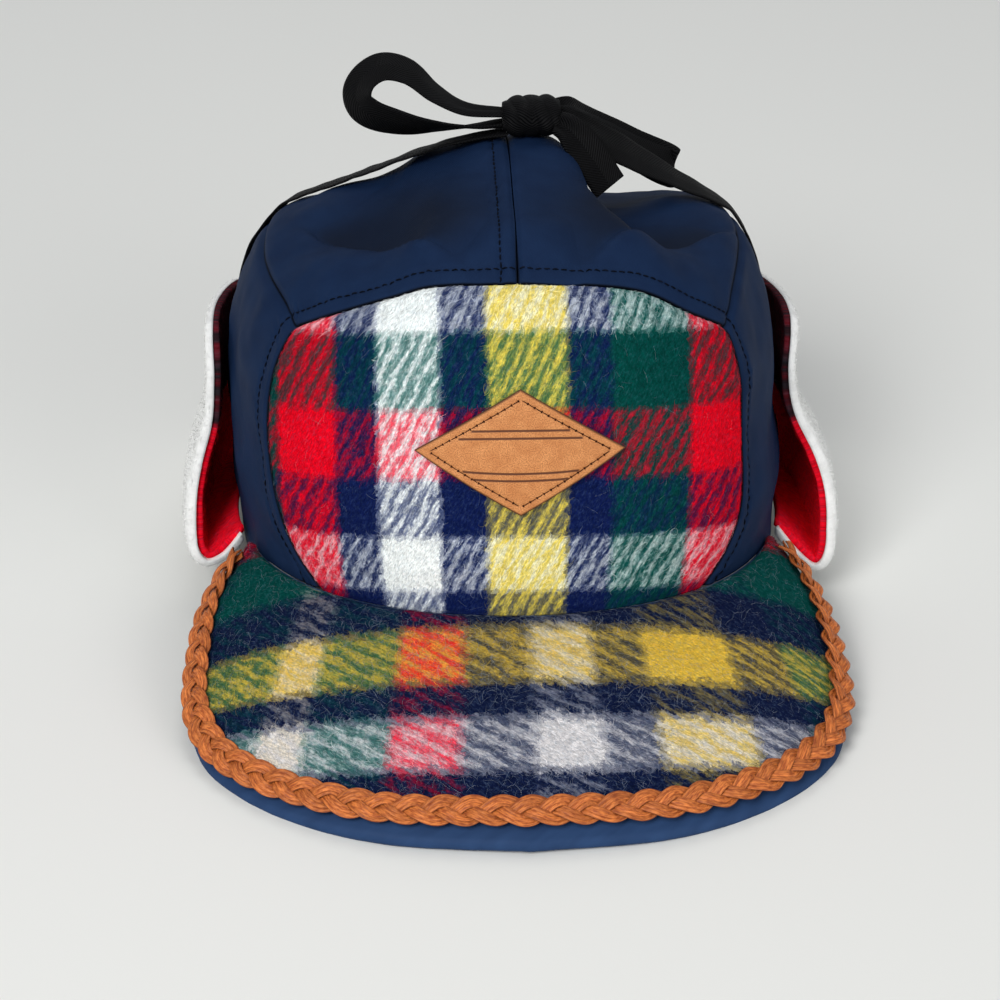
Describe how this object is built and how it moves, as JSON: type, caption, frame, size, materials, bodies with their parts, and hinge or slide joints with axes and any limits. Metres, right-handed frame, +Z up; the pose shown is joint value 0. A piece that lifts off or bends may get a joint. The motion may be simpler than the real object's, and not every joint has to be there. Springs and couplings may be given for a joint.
{
  "type": "ear flap cap",
  "caption": "Deerstalker-style winter cap: navy crown, plaid wool front and visor, leather braid and patch, fleece-lined ear flaps tied up over the top with a ribbon bow.",
  "frame": {"origin": "middle of the bounding box on the table that the cap rests on", "axes": "+Y towards the back of the head, +X towards the wearer's left, +Z up from the table"},
  "size_m": [0.2006, 0.2674, 0.1571],
  "materials": {
    "navy_nylon": "tightly woven nylon with a slight sheen",
    "plaid_wool": "brushed wool in a navy, green, red, white and yellow plaid",
    "red_wool": "brushed red and dark plaid wool",
    "fleece": "thick white pile fleece",
    "patch_leather": "smooth tan leather with stitched border",
    "braid_leather": "plaited tan leather",
    "ribbon": "black twill ribbon"
  },
  "bodies": {
    "root": {"front_panel": "plaid_wool", "top_panel_left": "navy_nylon", "top_panel_right": "navy_nylon", "side_panel_left": "navy_nylon", "side_panel_right": "navy_nylon", "leather_patch": "patch_leather", "visor": "navy_nylon", "visor_cover": "plaid_wool", "visor_braid": "braid_leather", "ear_flap_left": "red_wool", "ear_flap_right": "red_wool", "flap_lining_left": "fleece", "flap_lining_right": "fleece", "tie_left": "ribbon", "tie_right": "ribbon", "bow_knot": "ribbon", "bow_loop_left": "ribbon", "bow_loop_right": "ribbon", "bow_tail_front": "ribbon", "bow_tail_back": "ribbon"}
  },
  "joints": []
}
